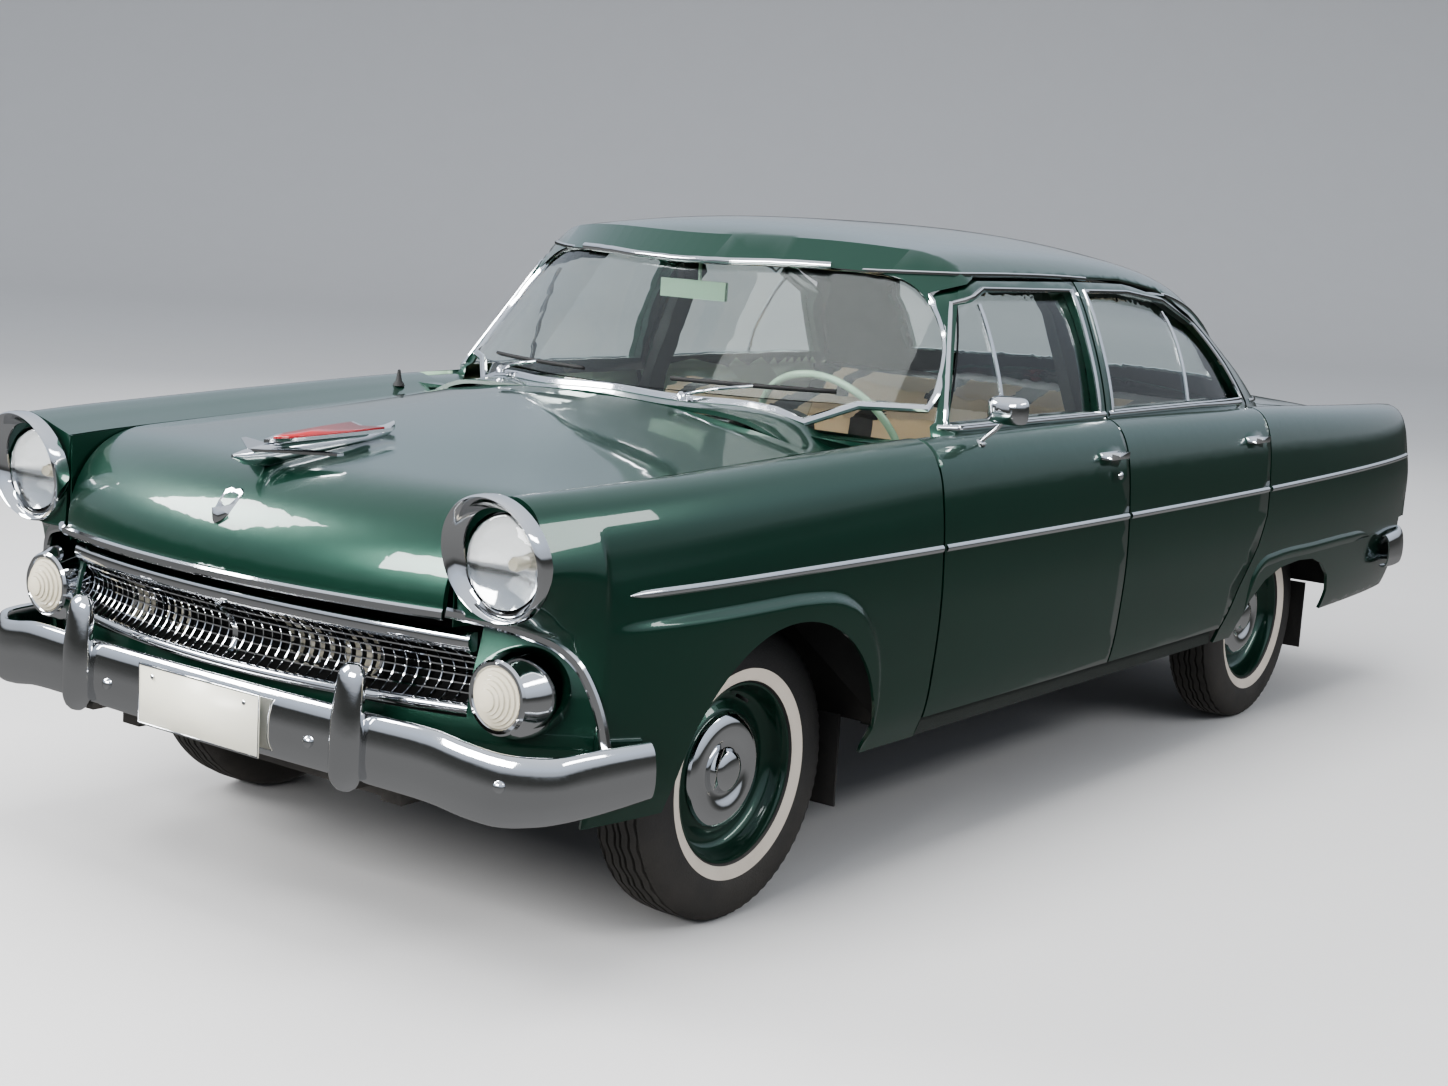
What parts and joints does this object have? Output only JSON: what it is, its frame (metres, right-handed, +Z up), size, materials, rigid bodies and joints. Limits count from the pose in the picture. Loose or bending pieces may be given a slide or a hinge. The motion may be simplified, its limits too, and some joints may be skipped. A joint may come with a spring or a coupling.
{
  "type": "1950s classic car",
  "caption": "Full-size four-door saloon car of the mid-1950s with opening doors, hood and trunk lid and steered front wheels.",
  "frame": {"origin": "on the ground under the middle of the overall length", "axes": "+Z up, the car faces -Y, its left side is +X"},
  "size_m": [1.965, 5.036, 1.5842],
  "materials": {
    "black_steel": "satin",
    "chrome_plate": "polished",
    "clear_glass": "clear",
    "engine_iron": "painted",
    "green_paint": "metallic gloss",
    "mint_plastic": "gloss",
    "red_lens": "clear",
    "seat_cloth": "woven",
    "tyre_rubber": "matt"
  },
  "bodies": {
    "body": {"bumper_guards": "chrome_plate", "cowl": "green_paint", "engine_block": "engine_iron", "firewall": "green_paint", "floor_pan": "green_paint", "frame_rails": "black_steel", "front_bench": "seat_cloth", "front_bumper": "chrome_plate", "front_cross_member": "black_steel", "front_fender_l": "green_paint", "front_fender_r": "green_paint", "grille": "chrome_plate", "grille_surround": "chrome_plate", "headlamp_lenses": "clear_glass", "headlamp_rims": "chrome_plate", "inner_fender_l": "green_paint", "inner_fender_r": "green_paint", "instrument_panel": "green_paint", "interior_mirror": "chrome_plate", "parking_lenses": "clear_glass", "parking_pods": "chrome_plate", "rear_axle": "black_steel", "rear_bench": "seat_cloth", "rear_bumper": "chrome_plate", "rear_deck": "green_paint", "rear_quarter_l": "green_paint", "rear_quarter_r": "green_paint", "rear_window": "clear_glass", "roof": "green_paint", "sills_and_pillars": "green_paint", "steering_column": "mint_plastic", "tail_lamps": "red_lens", "windshield": "clear_glass"},
    "steering_wheel": {"steering_wheel": "mint_plastic"},
    "hood": {"hood": "green_paint", "hood_ornament": "chrome_plate"},
    "trunk_lid": {"trunk_lid": "green_paint"},
    "knuckle_l": {"knuckle_l": "black_steel"},
    "knuckle_r": {"knuckle_r": "black_steel"},
    "front_wheel_l": {"front_wheel_l": "green_paint", "front_tyre_l": "tyre_rubber"},
    "front_wheel_r": {"front_wheel_r": "green_paint", "front_tyre_r": "tyre_rubber"},
    "rear_wheel_l": {"rear_wheel_l": "green_paint", "rear_tyre_l": "tyre_rubber"},
    "rear_wheel_r": {"rear_wheel_r": "green_paint", "rear_tyre_r": "tyre_rubber"},
    "front_door_l": {"front_door_l": "green_paint", "front_door_glass_l": "clear_glass", "door_mirror": "chrome_plate"},
    "front_door_r": {"front_door_r": "green_paint", "front_door_glass_r": "clear_glass"},
    "rear_door_l": {"rear_door_l": "green_paint", "rear_door_glass_l": "clear_glass"},
    "rear_door_r": {"rear_door_r": "green_paint", "rear_door_glass_r": "clear_glass"}
  },
  "joints": [
    {"name": "steer_l", "type": "hinge", "parent": "body", "child": "knuckle_l", "pos_m": [0.69, -1.641, 0.345], "axis": [0, 0, 1], "range_deg": [-30, 30]},
    {"name": "steer_r", "type": "hinge", "parent": "body", "child": "knuckle_r", "pos_m": [-0.69, -1.641, 0.345], "axis": [0, 0, 1], "range_deg": [-30, 30]},
    {"name": "front_wheel_spin_l", "type": "hinge", "parent": "knuckle_l", "child": "front_wheel_l", "pos_m": [0.74, -1.641, 0.345], "axis": [1, 0, 0], "continuous": true},
    {"name": "rear_wheel_spin_l", "type": "hinge", "parent": "body", "child": "rear_wheel_l", "pos_m": [0.725, 1.293, 0.345], "axis": [1, 0, 0], "continuous": true},
    {"name": "front_wheel_spin_r", "type": "hinge", "parent": "knuckle_r", "child": "front_wheel_r", "pos_m": [-0.74, -1.641, 0.345], "axis": [1, 0, 0], "continuous": true},
    {"name": "rear_wheel_spin_r", "type": "hinge", "parent": "body", "child": "rear_wheel_r", "pos_m": [-0.725, 1.293, 0.345], "axis": [1, 0, 0], "continuous": true},
    {"name": "steering_wheel_turn", "type": "hinge", "parent": "body", "child": "steering_wheel", "pos_m": [0.38, -0.7, 0.991], "axis": [0, 0.866, 0.5], "range_deg": [-540, 540]},
    {"name": "front_door_hinge_l", "type": "hinge", "parent": "body", "child": "front_door_l", "pos_m": [0.938, -0.996, 0.7], "axis": [0, 0, -1], "range_deg": [0, 65]},
    {"name": "rear_door_hinge_l", "type": "hinge", "parent": "body", "child": "rear_door_l", "pos_m": [0.94, 0.004, 0.7], "axis": [0, 0, -1], "range_deg": [0, 65]},
    {"name": "front_door_hinge_r", "type": "hinge", "parent": "body", "child": "front_door_r", "pos_m": [-0.938, -0.996, 0.7], "axis": [0, 0, 1], "range_deg": [0, 65]},
    {"name": "rear_door_hinge_r", "type": "hinge", "parent": "body", "child": "rear_door_r", "pos_m": [-0.94, 0.004, 0.7], "axis": [0, 0, 1], "range_deg": [0, 65]},
    {"name": "hood_hinge", "type": "hinge", "parent": "body", "child": "hood", "pos_m": [0, -1.228, 1.116], "axis": [-1, 0, 0], "range_deg": [0, 50]},
    {"name": "trunk_lid_hinge", "type": "hinge", "parent": "body", "child": "trunk_lid", "pos_m": [0, 1.634, 1.071], "axis": [1, 0, 0], "range_deg": [0, 70]}
  ],
  "couplings": [
    {"joint": "steer_r", "follows": "steer_l", "ratio": 1},
    {"joint": "steering_wheel_turn", "follows": "steer_l", "ratio": 18}
  ]
}
